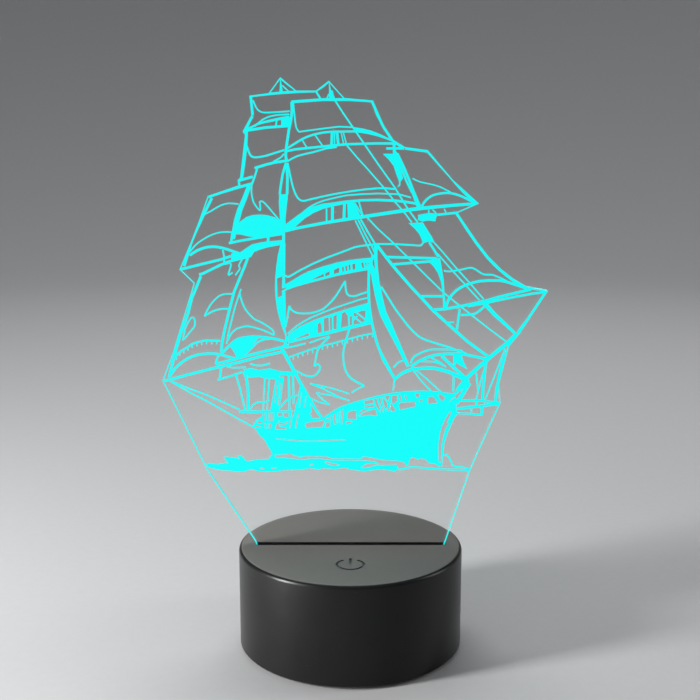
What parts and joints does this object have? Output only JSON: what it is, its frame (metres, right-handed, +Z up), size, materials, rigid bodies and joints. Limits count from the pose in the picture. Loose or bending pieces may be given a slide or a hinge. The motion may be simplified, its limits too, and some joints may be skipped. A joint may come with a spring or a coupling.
{
  "type": "edge-lit acrylic night lamp",
  "caption": "Round touch-switch base with a slotted top that holds and edge-lights a clear contour-cut acrylic plate engraved with a sailing ship; lift-out plate and battery door underneath.",
  "frame": {"origin": "centre of the base on the surface it stands on", "axes": "+Z up through the base and the plate, -Y out of the front with the touch symbol, +X to the right seen from the front"},
  "size_m": [0.1453, 0.087, 0.2175],
  "materials": {
    "abs_black": "fine matt moulding with a polished rim",
    "abs_inner": "plain moulded",
    "acrylic_clear": "clear, flame-polished edge",
    "engraving_glow": "laser-frosted line lit from below",
    "rubber_black": "soft matt",
    "board_green": "solder resist over glass fibre",
    "board_white": "white solder resist",
    "led_lens": "lit diffuser",
    "steel": "nickel-plated spring steel",
    "aluminium_can": "satin can",
    "zinc_screw": "black zinc plated",
    "nylon_white": "natural nylon",
    "chip_black": "moulded epoxy",
    "cell_wrap": "plain printed sleeve, no lettering",
    "wire_red": "soft sleeve",
    "wire_black": "soft sleeve"
  },
  "bodies": {
    "base": {"top_shell": "abs_black", "bottom_cover": "abs_inner", "plate_holder": "abs_inner", "foot_1": "rubber_black", "foot_2": "rubber_black", "foot_3": "rubber_black", "foot_4": "rubber_black", "aa_cell_1": "cell_wrap", "aa_cell_2": "cell_wrap", "aa_cell_3": "cell_wrap", "contact_positive": "steel", "contact_negative": "steel", "contact_bridge_1": "steel", "contact_bridge_2": "steel", "cell_spring_1": "steel", "cell_spring_2": "steel", "cell_spring_3": "steel", "control_board": "board_green", "usb_socket": "steel", "usb_tongue": "chip_black", "touch_ic": "chip_black", "led_driver_ic": "chip_black", "battery_connector": "nylon_white", "led_connector": "nylon_white", "capacitor": "aluminium_can", "touch_spring": "steel", "led_board": "board_white", "led_1": "led_lens", "led_2": "led_lens", "led_3": "led_lens", "led_4": "led_lens", "led_5": "led_lens", "led_6": "led_lens", "led_7": "led_lens", "case_screw_1": "zinc_screw", "case_screw_2": "zinc_screw", "case_screw_3": "zinc_screw", "case_screw_4": "zinc_screw", "holder_screw_1": "zinc_screw", "holder_screw_2": "zinc_screw", "board_screw_1": "zinc_screw", "board_screw_2": "zinc_screw", "led_board_screw_1": "zinc_screw", "led_board_screw_2": "zinc_screw", "battery_wire_red": "wire_red", "battery_wire_black": "wire_black", "led_wire_1": "wire_red", "led_wire_2": "wire_black"},
    "plate": {"acrylic_plate": "acrylic_clear"},
    "door": {"battery_door": "abs_inner"}
  },
  "joints": [
    {"name": "plate_lift", "type": "slide", "parent": "base", "child": "plate", "axis": [0, 0, 1], "range_m": [0, 0.02]},
    {"name": "door_hinge", "type": "hinge", "parent": "base", "child": "door", "pos_m": [-0.029, 0, 0.0018], "axis": [0, 1, 0], "range_deg": [0, 75]}
  ]
}
